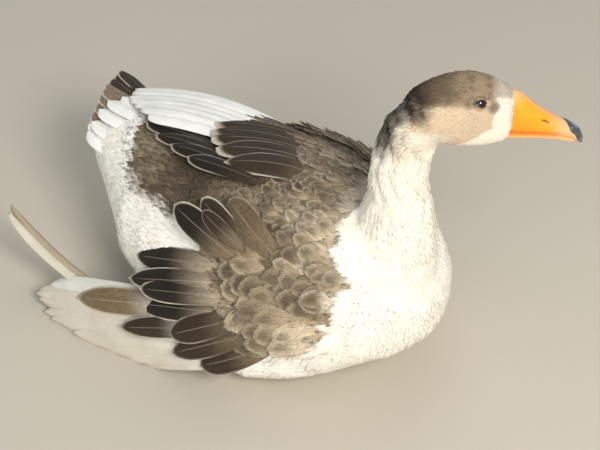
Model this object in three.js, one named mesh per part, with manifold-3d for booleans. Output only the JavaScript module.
// A domestic goose at rest on the ground: neck raised, head turned to its left, right wing let down.
// Millimetres, +Z up, +X towards the breast, +Y towards the goose's left side.
// The origin is on the floor, in the middle of the flat of the belly.

import * as THREE from 'three';
import { LoftGeometry } from 'three/addons/geometries/LoftGeometry.js';
import { mergeVertices } from 'three/addons/utils/BufferGeometryUtils.js';
import Module from 'manifold-3d';

const wasm = await Module();
wasm.setup();

const vec = ( x, y, z ) => new THREE.Vector3( x, y, z );
const mix = THREE.MathUtils.lerp;
const rad = THREE.MathUtils.degToRad;

// ---- driving dimensions ----

const GAP = 0.4; // clearance between neighbouring pieces
const MID_Y = - 12; // the body's midline, which lies a little to the right of the belly's flat

const BILL_TIP = 66; // tip of the nail, ahead of the corner of the gape
const HEAD_YAW = rad( 46 ); // the head is turned this far to the goose's left
const HEAD_PITCH = rad( 8 ); // bill down
const HEAD_ROLL = rad( 18 ); // right cheek turned up
const GAPE = vec( 206, 63, 297 ); // middle of the gape, at the root of the bill

const EYE_RADIUS = 6.6;
const VANE = 2.4; // thickness of a flight feather's blade
const SHANK_LENGTH = 85;
const TOE_LENGTH = 92;

const COLOURS = {
	white: 0xe9e6df, brown: 0x6f6257, crown: 0x8a7a68, orange: 0xe8902a,
	nail: 0x6d6d75, eye: 0x2a1a12, foot: 0xd98a3a,
};

// ---- solids ----

// A closed body through sections, each a ring of points. It is turned right side out.
function loft( sections ) {

	const { attributes, index } = new LoftGeometry( sections, { capStart: true, capEnd: true } );
	const bare = new THREE.BufferGeometry().setAttribute( 'position', attributes.position ).setIndex( index );
	const merged = mergeVertices( bare, 1e-3 );
	const made = solid( merged.attributes.position.array, merged.index.array );
	if ( made.volume() > 0 ) return made;
	return solid( merged.attributes.position.array, merged.index.array.toReversed() );

}

function solid( vertProperties, corners ) {

	const triVerts = new Uint32Array( corners );
	return new wasm.Manifold( new wasm.Mesh( { numProp: 3, vertProperties, triVerts } ) );

}

// An oval ring: half-width along side, rise above the centre and drop below it along up.
function oval( { centre, side, up, half, rise, drop = rise, power = 2, count = 12 } ) {

	const round = ( value ) => Math.sign( value ) * Math.abs( value ) ** ( 2 / power );
	return Array.from( { length: count }, ( _, i ) => {

		const angle = 2 * Math.PI * ( i + 0.5 ) / count;
		const lift = round( Math.sin( angle ) );
		return centre.clone()
			.addScaledVector( side, half * round( Math.cos( angle ) ) )
			.addScaledVector( up, lift * ( lift > 0 ? rise : drop ) );

	} );

}

// The value of a named size at distance x, from a list of stations sorted by x, on a smooth curve.
function between( stations, key, x ) {

	const last = stations.length - 1;
	let i = stations.findIndex( ( s ) => s.x > x ) - 1;
	if ( i < 0 ) i = x < stations[ 0 ].x ? 0 : last - 1;
	const [ a, b, c, d ] = [ i - 1, i, i + 1, i + 2 ].map( ( k ) => stations[ THREE.MathUtils.clamp( k, 0, last ) ] );
	const span = c.x - b.x;
	const t = ( x - b.x ) / span;
	const slopeB = ( c[ key ] - a[ key ] ) / ( c.x - a.x ) * span;
	const slopeC = ( d[ key ] - b[ key ] ) / ( d.x - b.x ) * span;
	return ( 2 * t ** 3 - 3 * t * t + 1 ) * b[ key ] + ( t ** 3 - 2 * t * t + t ) * slopeB
		+ ( 3 * t * t - 2 * t ** 3 ) * c[ key ] + ( t ** 3 - t * t ) * slopeC;

}

// A body along an axis: stations give, at each x, half-width, top, bottom and the height of the widest line.
function bodyAlong( stations, { steps, count, grow = 0, place = new THREE.Matrix4(), power = 2.2 } ) {

	const first = stations[ 0 ].x;
	const length = stations.at( - 1 ).x - first;
	const side = vec( 0, 1, 0 );
	const up = vec( 0, 0, 1 );
	const sections = [];
	for ( let i = 0; i <= steps; i ++ ) {

		const share = ( 1 - Math.cos( Math.PI * i / steps ) ) / 2; // closer together at both ends
		const x = first + length * share;
		const size = ( key ) => between( stations, key, x );
		const mid = size( 'mid' );
		const ring = oval( {
			centre: vec( x, 0, mid ), side, up, count, power,
			half: Math.max( size( 'half' ), 1 ) + grow,
			rise: Math.max( size( 'top' ) - mid, 1 ) + grow,
			drop: Math.max( mid - size( 'bottom' ), 1 ) + grow,
		} );
		sections.push( ring.map( ( point ) => point.applyMatrix4( place ) ) );

	}
	return loft( sections );

}

// A round limb along a smooth line of points, with a radius at each. A flat one keeps its flat side facing out.
function limb( points, radii, { steps, count, flat = 1, grow = 0, facing = null } ) {

	const line = new THREE.CatmullRomCurve3( points );
	const sections = [];
	for ( let i = 0; i <= steps; i ++ ) {

		const t = i / steps;
		const along = line.getTangent( t );
		const out = facing ?? vec().crossVectors( along, vec( 0, 1, 0 ) );
		const across = vec().crossVectors( out, along ).normalize();
		const up = vec().crossVectors( along, across );
		const at = t * ( radii.length - 1 );
		const k = Math.min( Math.floor( at ), radii.length - 2 );
		const radius = mix( radii[ k ], radii[ k + 1 ], at - k );
		sections.push( oval( {
			centre: line.getPoint( t ), side: across, up, half: radius + grow, rise: radius * flat + grow, count,
		} ) );

	}
	return loft( sections );

}

// A row of overlapping flight feathers as one plate. Their roots and tips lie on two smooth lines.
// Each feather slants a little, so that its edge stands clear of the next, and ends in a rounded tip.
function vanes( { roots, tips, outward, count, notch = 14, arch = [ 0, 0 ], slant = 0.9, thick = VANE, grow = 0 } ) {

	const rootLine = new THREE.CatmullRomCurve3( roots );
	const tipLine = new THREE.CatmullRomCurve3( tips );
	const facing = new THREE.CatmullRomCurve3( outward );
	const across = tips.at( - 1 ).clone().sub( tips[ 0 ] ).normalize().multiplyScalar( grow );
	const sections = [];
	for ( let i = 0; i < count; i ++ ) for ( const w of [ - 0.97, - 0.7, 0, 0.7, 0.97 ] ) {

		const u = ( i + ( 1 + w ) / 2 ) / count;
		const root = rootLine.getPoint( u );
		const along = tipLine.getPoint( u ).sub( root );
		const length = along.length();
		const out = facing.getPoint( u );
		out.addScaledVector( along, - out.dot( along ) / length ** 2 ).normalize();
		const reach = 1 + ( grow - notch * ( 1 - Math.sqrt( 1 - w * w ) ) ) / length;
		const end = i === 0 && w < - 0.9 ? - 1 : i === count - 1 && w > 0.9 ? 1 : 0;
		root.addScaledVector( across, end );
		const at = ( v, side ) => root.clone().addScaledVector( along, v )
			.addScaledVector( out, 4 * mix( ...arch, u ) * v * ( 1 - v ) + slant * w + side * ( thick * ( 1 - 0.5 * v ** 3 ) / 2 + grow ) );
		const rows = [ - grow / length, reach * 0.55, reach ];
		const ring = [ ...rows.map( ( v ) => at( v, 1 ) ), ...rows.toReversed().map( ( v ) => at( v, - 1 ) ) ];
		const spread = tips.at( - 1 ).clone().sub( tips[ 0 ] );
		sections.push( vec().crossVectors( out, along ).dot( spread ) > 0 ? ring : ring.reverse() );

	}
	return loft( sections );

}

const join = ( solids ) => solids.reduce( ( all, one ) => all.add( one ) );
const cutBy = ( body, cutters ) => cutters.reduce( ( left, one ) => left.subtract( one ), body );
const biggest = ( body ) => body.decompose().sort( ( a, b ) => b.volume() - a.volume() )[ 0 ];

function box( low, high ) {

	const size = vec().subVectors( high, low );
	const geometry = new THREE.BoxGeometry( size.x, size.y, size.z ).translate( ...low.clone().addScaledVector( size, 0.5 ).toArray() );
	geometry.deleteAttribute( 'normal' );
	geometry.deleteAttribute( 'uv' );
	const merged = mergeVertices( geometry, 1e-3 );
	return solid( merged.attributes.position.array, merged.index.array );

}

const floor = box( vec( - 600, - 600, - 200 ), vec( 600, 600, 0 ) );

// ---- the shapes, each with a clearance it can be grown by for cutting its neighbours ----

const MIRROR = new THREE.Matrix4().makeScale( 1, - 1, 1 );
const atMidline = new THREE.Matrix4().makeTranslation( 0, MID_Y, 0 );
const mirrored = ( points ) => points.map( ( p ) => vec( p.x, 2 * MID_Y - p.y, p.z ) );

const TRUNK = [
	{ x: - 256, half: 34, top: 154, mid: 138, bottom: 116 },
	{ x: - 232, half: 60, top: 166, mid: 130, bottom: 80 },
	{ x: - 198, half: 77, top: 175, mid: 115, bottom: 42 },
	{ x: - 165, half: 104, top: 181, mid: 96, bottom: 12 },
	{ x: - 120, half: 123, top: 188, mid: 80, bottom: - 2 },
	{ x: - 60, half: 130, top: 197, mid: 66, bottom: - 5 },
	{ x: 0, half: 132, top: 203, mid: 62, bottom: - 5 },
	{ x: 60, half: 126, top: 206, mid: 64, bottom: - 5 },
	{ x: 108, half: 107, top: 198, mid: 77, bottom: 8 },
	{ x: 144, half: 81, top: 168, mid: 90, bottom: 36 },
	{ x: 172, half: 52, top: 133, mid: 96, bottom: 57 },
	{ x: 183, half: 20, top: 110, mid: 94, bottom: 76 },
];

const FLANK_LINE = [ vec( 100, - 88, 42 ), vec( 46, - 112, 38 ), vec( - 16, - 123, 36 ), vec( - 70, - 112, 37 ), vec( - 112, - 92, 44 ) ];
const FLANK_RADII = [ 18, 33, 36, 30, 14 ];

function trunkShape( grow = 0 ) {

	const flank = ( line ) => limb( line, FLANK_RADII, { steps: 7, count: 10, grow } );
	return bodyAlong( TRUNK, { steps: 15, count: 24, grow, place: atMidline } )
		.add( flank( FLANK_LINE ) ).add( flank( mirrored( FLANK_LINE ) ) );

}

const NECK_LINE = [
	vec( 100, - 12, 105 ), vec( 124, - 9, 165 ), vec( 127, - 7, 228 ), vec( 127, - 6, 272 ), vec( 138, 4, 312 ), vec( 158, 22, 330 ),
];
const NECK_RADII = [ 84, 48, 31, 29, 28, 13 ];
const neckShape = ( grow = 0 ) => limb( NECK_LINE, NECK_RADII, { steps: 12, count: 16, grow } );

const HEAD = [ // along the head from the nape to the root of the bill
	{ x: - 112, half: 7, top: 23, mid: 16, bottom: 9 },
	{ x: - 105, half: 18, top: 36, mid: 17, bottom: - 2 },
	{ x: - 92, half: 24, top: 46, mid: 18, bottom: - 9 },
	{ x: - 74, half: 28, top: 54, mid: 18, bottom: - 13 },
	{ x: - 52, half: 29, top: 58, mid: 18, bottom: - 14 },
	{ x: - 32, half: 26, top: 55.5, mid: 17, bottom: - 13 },
	{ x: - 18, half: 21, top: 49.5, mid: 15, bottom: - 10 },
	{ x: - 8, half: 16.5, top: 43.5, mid: 14, bottom: - 7 },
];

const BILL = [ // the upper mandible, from its root to the nail
	{ x: - 14, half: 15, top: 42.5, mid: 14, bottom: 0.5 },
	{ x: 0, half: 14, top: 39.5, mid: 11, bottom: 0.5 },
	{ x: 12, half: 13, top: 31.5, mid: 9, bottom: 0.5 },
	{ x: 24, half: 12, top: 24.5, mid: 8, bottom: 0 },
	{ x: 38, half: 11, top: 18, mid: 6, bottom: - 1 },
	{ x: 50, half: 10, top: 12.5, mid: 4, bottom: - 3 },
	{ x: 60, half: 8, top: 6.5, mid: 0.5, bottom: - 6 },
	{ x: BILL_TIP, half: 3, top: - 1, mid: - 4, bottom: - 8 },
];

const LOWER_BILL = [
	{ x: - 14, half: 12, top: - 0.3, mid: - 1.8, bottom: - 4.8 },
	{ x: 20, half: 10, top: - 0.3, mid: - 1.8, bottom: - 4 },
	{ x: 46, half: 8, top: - 2, mid: - 3.6, bottom: - 6 },
	{ x: 58, half: 4.5, top: - 5, mid: - 7, bottom: - 9 },
];

const NAIL = [
	{ x: BILL_TIP - 15, half: 5, top: 12, mid: 9, bottom: 5 },
	{ x: BILL_TIP - 9, half: 9.5, top: 10, mid: 2, bottom: - 3.5 },
	{ x: BILL_TIP - 3, half: 8, top: 5.5, mid: - 1, bottom: - 7 },
	{ x: BILL_TIP + 1, half: 3, top: - 1, mid: - 4, bottom: - 9 },
];

const headPlace = new THREE.Matrix4()
	.makeRotationFromEuler( new THREE.Euler( - HEAD_ROLL, HEAD_PITCH, HEAD_YAW, 'ZYX' ) )
	.setPosition( GAPE );
const headShape = ( grow = 0 ) => bodyAlong( HEAD, { steps: 12, count: 18, place: headPlace, grow } );
const billShape = ( grow = 0 ) => bodyAlong( BILL, { steps: 9, count: 14, place: headPlace, grow, power: 2.1 } );
const lowerBillShape = ( grow = 0 ) => bodyAlong( LOWER_BILL, { steps: 6, count: 12, place: headPlace, grow } );
const nailShape = ( grow = 0 ) => bodyAlong( NAIL, { steps: 5, count: 10, place: headPlace, grow } );

const EYE = vec( - 46.5, 22.8, 34 ); // in the head's own frame, on its left side

function eyeShape( sign, grow = 0 ) {

	const sphere = new THREE.SphereGeometry( EYE_RADIUS + grow, 12, 7 );
	sphere.deleteAttribute( 'normal' );
	sphere.deleteAttribute( 'uv' );
	sphere.translate( EYE.x, sign * EYE.y, EYE.z ).applyMatrix4( headPlace );
	const merged = mergeVertices( sphere, 1e-3 );
	return solid( merged.attributes.position.array, merged.index.array );

}

// ---- wings ----

// The upper wing, from elbow to wrist, is a low cushion of coverts lying against the body.
const RIGHT_ARM = {
	line: [ vec( - 30, - 118, 152 ), vec( 10, - 124, 140 ), vec( 60, - 118, 126 ), vec( 100, - 102, 116 ), vec( 126, - 84, 114 ) ],
	radii: [ 14, 44, 56, 50, 16 ],
	facing: vec( 0.1, - 0.8, 0.6 ),
};
const LEFT_ARM = {
	line: [ vec( - 98, 97, 130 ), vec( - 30, 100, 138 ), vec( 40, 99, 134 ), vec( 94, 86, 122 ), vec( 126, 64, 112 ) ],
	radii: [ 20, 50, 58, 46, 14 ],
	facing: vec( 0, 0.8, 0.6 ),
};
const armShape = ( { line, radii, facing }, grow = 0 ) => limb( line, radii, { steps: 9, count: 14, flat: 0.24, facing, grow } );

const rightTertials = ( grow = 0 ) => vanes( {
	roots: [ vec( 4, - 130, 150 ), vec( 24, - 134, 136 ), vec( 44, - 140, 114 ) ],
	tips: [ vec( - 106, - 140, 110 ), vec( - 104, - 160, 92 ), vec( - 62, - 174, 70 ) ],
	outward: [ vec( - 0.1, - 0.75, 0.66 ), vec( - 0.1, - 0.75, 0.66 ) ], count: 5, notch: 16, arch: [ 5, 5 ], grow,
} );

const rightTopTertials = ( grow = 0 ) => vanes( {
	roots: [ vec( 32, - 108, 170 ), vec( 4, - 130, 158 ) ],
	tips: [ vec( - 40, - 90, 190 ), vec( - 86, - 118, 170 ) ],
	outward: [ vec( - 0.1, - 0.6, 0.8 ), vec( - 0.1, - 0.65, 0.75 ) ], count: 2, notch: 18, arch: [ 6, 6 ], grow,
} );

const rightSecondaries = ( grow = 0 ) => vanes( {
	roots: [ vec( 10, - 137, 104 ), vec( 24, - 140, 84 ), vec( 40, - 142, 62 ), vec( 46, - 148, 50 ) ],
	tips: [ vec( - 204, - 176, 34 ), vec( - 222, - 190, 12 ), vec( - 156, - 200, 2 ), vec( - 56, - 172, 6 ) ],
	outward: [ vec( 0, - 0.75, 0.66 ), vec( 0, - 0.9, 0.4 ) ], count: 8, notch: 14, arch: [ 5, 5 ], grow,
} );

const rightPrimaries = ( grow = 0 ) => vanes( {
	roots: [ vec( - 50, - 147, 52 ), vec( - 50, - 150, 42 ) ],
	tips: [ vec( - 291, - 155, 94 ), vec( - 270, - 165, 83 ) ],
	outward: [ vec( 0.2, 0.2, 0.9 ), vec( 0.2, 0.2, 0.9 ) ], count: 3, notch: 12, arch: [ - 27, - 27 ], grow,
} );

const rightLowerCoverts = ( grow = 0 ) => vanes( {
	roots: [ vec( 40, - 143, 110 ), vec( 56, - 144, 94 ), vec( 68, - 142, 74 ) ],
	tips: [ vec( - 36, - 174, 66 ), vec( - 34, - 175, 40 ), vec( 4, - 168, 34 ) ],
	outward: [ vec( 0, - 0.85, 0.5 ), vec( 0, - 0.9, 0.4 ) ], count: 3, notch: 14, arch: [ 4, 4 ], grow,
} );

const leftTertials = ( grow = 0 ) => vanes( {
	roots: [ vec( 8, 88, 148 ), vec( 24, 48, 170 ), vec( 56, - 12, 188 ) ],
	tips: [ vec( - 118, 10, 195 ), vec( - 92, - 33, 203 ), vec( - 32, - 70, 201 ) ],
	outward: [ vec( 0, 0.35, 0.94 ), vec( 0, - 0.2, 0.98 ) ], count: 6, notch: 16, arch: [ 14, 14 ], grow,
} );

const leftFlight = ( grow = 0 ) => vanes( {
	roots: [ vec( - 60, 118, 92 ), vec( - 66, 92, 148 ), vec( - 68, 30, 190 ), vec( - 66, - 14, 200 ) ],
	tips: [ vec( - 262, 40, 146 ), vec( - 248, 14, 167 ), vec( - 230, - 10, 176 ), vec( - 172, - 34, 188 ) ],
	outward: [ vec( 0, 0.8, 0.6 ), vec( 0, 0.05, 0.99 ) ], count: 6, notch: 14, arch: [ 24, 4 ], grow,
} );

const tailShape = ( grow = 0 ) => vanes( {
	roots: [ vec( - 205, - 58, 140 ), vec( - 200, - 14, 160 ), vec( - 205, 24, 146 ) ],
	tips: [ vec( - 262, - 50, 148 ), vec( - 282, 0, 164 ), vec( - 298, 46, 160 ) ],
	outward: [ vec( 0.1, - 0.4, 0.9 ), vec( 0.1, 0.4, 0.9 ) ], count: 8, notch: 12, arch: [ 2, 2 ], grow,
} );

// ---- legs ----

function legShape( sign, grow = 0 ) {

	const y = ( across ) => MID_Y + sign * across;
	return limb( [ vec( - SHANK_LENGTH, y( 56 ), 11 ), vec( - SHANK_LENGTH / 2, y( 51 ), 10 ), vec( - 2, y( 46 ), 8 ) ], [ 9, 6.5, 7.5 ], { steps: 5, count: 8, grow } );

}

function footShape( sign, grow = 0 ) {

	const y = ( across ) => MID_Y + sign * across;
	const heel = vec( 0, y( 46 ), 6 );
	const ends = [ vec( heel.x + TOE_LENGTH * 0.8, y( 12 ), 3.5 ), vec( heel.x + TOE_LENGTH, y( 40 ), 3.5 ), vec( heel.x + TOE_LENGTH * 0.82, y( 70 ), 3.5 ) ];
	const toes = ends.map( ( end ) => limb( [ heel, heel.clone().lerp( end, 0.5 ), end ], [ 6, 4.4, 2.2 ], { steps: 3, count: 6, grow } ) );
	const webs = [ 0, 1 ].map( ( i ) => {

		const corners = [ heel, ends[ i ], ends[ i + 1 ] ].map( ( p ) => p.clone().lerp( heel, 0.08 ) );
		if ( sign < 0 ) corners.reverse();
		const layer = ( z ) => corners.map( ( p ) => vec( p.x, p.y, z ) );
		return loft( [ layer( 1 - grow ), layer( 3 + grow ) ] );

	} );
	return join( [ ...toes, ...webs ] );

}

// ---- the goose, put together from the outside in ----

const goose = new THREE.Group();
export default goose;

function piece( name, shape, cutters, colour, roughness = 0.85 ) {

	const body = biggest( cutBy( shape, [ floor, ...cutters ] ) );
	const { vertProperties, triVerts } = body.getMesh();
	const geometry = new THREE.BufferGeometry()
		.setAttribute( 'position', new THREE.BufferAttribute( vertProperties, 3 ) )
		.setIndex( new THREE.BufferAttribute( triVerts, 1 ) );
	geometry.computeVertexNormals();
	const material = new THREE.MeshStandardMaterial( { color: colour, roughness, metalness: 0 } );
	const mesh = new THREE.Mesh( geometry, material );
	mesh.name = name;
	goose.add( mesh );

}

const eyesGrown = [ eyeShape( 1, GAP ), eyeShape( - 1, GAP ) ];
piece( 'eye_left', eyeShape( 1 ), [], COLOURS.eye, 0.1 );
piece( 'eye_right', eyeShape( - 1 ), [], COLOURS.eye, 0.1 );
piece( 'bill_nail', nailShape(), [], COLOURS.nail, 0.4 );
piece( 'bill_upper', billShape(), [ headShape( GAP ), nailShape( GAP ) ], COLOURS.orange, 0.4 );
piece( 'bill_lower', lowerBillShape(), [ headShape( GAP ), nailShape( GAP ), billShape( GAP ) ], COLOURS.orange, 0.4 );
piece( 'head', headShape(), eyesGrown, COLOURS.crown );
piece( 'neck', neckShape(), [ headShape( GAP ), trunkShape( GAP ) ], COLOURS.white );

const legs = [ 1, - 1 ].flatMap( ( sign ) => [ legShape( sign, GAP ), footShape( sign, GAP ) ] );
piece( 'trunk', trunkShape(), legs, COLOURS.white );

const trunkCut = trunkShape( GAP );
const neckCut = neckShape( GAP );
const rightArmCut = armShape( RIGHT_ARM, GAP );
const leftArmCut = armShape( LEFT_ARM, GAP );
piece( 'wing_right_coverts', armShape( RIGHT_ARM ), [ trunkCut, neckCut ], COLOURS.brown );
piece( 'wing_left_coverts', armShape( LEFT_ARM ), [ trunkCut, neckCut ], COLOURS.brown );

const rightLayers = [ // from the outermost to the innermost
	[ 'wing_right_top_tertials', rightTopTertials, COLOURS.brown ],
	[ 'wing_right_tertials', rightTertials, COLOURS.brown ],
	[ 'wing_right_lower_coverts', rightLowerCoverts, COLOURS.brown ],
	[ 'wing_right_secondaries', rightSecondaries, COLOURS.white ],
	[ 'wing_right_primaries', rightPrimaries, COLOURS.white ],
];
rightLayers.forEach( ( [ name, shape, colour ], i ) => {

	const above = rightLayers.slice( 0, i ).map( ( layer ) => layer[ 1 ]( GAP ) );
	piece( name, shape(), [ trunkCut, rightArmCut, ...above ], colour );

} );

piece( 'wing_left_tertials', leftTertials(), [ trunkCut, leftArmCut ], COLOURS.brown );
piece( 'wing_left_flight', leftFlight(), [ trunkCut, leftArmCut, leftTertials( GAP ) ], COLOURS.white );
piece( 'tail', tailShape(), [ trunkCut, leftFlight( GAP ) ], COLOURS.brown );

for ( const [ name, sign ] of [ [ 'left', 1 ], [ 'right', - 1 ] ] ) {

	piece( 'foot_' + name, footShape( sign ), [], COLOURS.foot );
	piece( 'leg_' + name, legShape( sign ), [ footShape( sign, GAP ) ], COLOURS.foot );

}
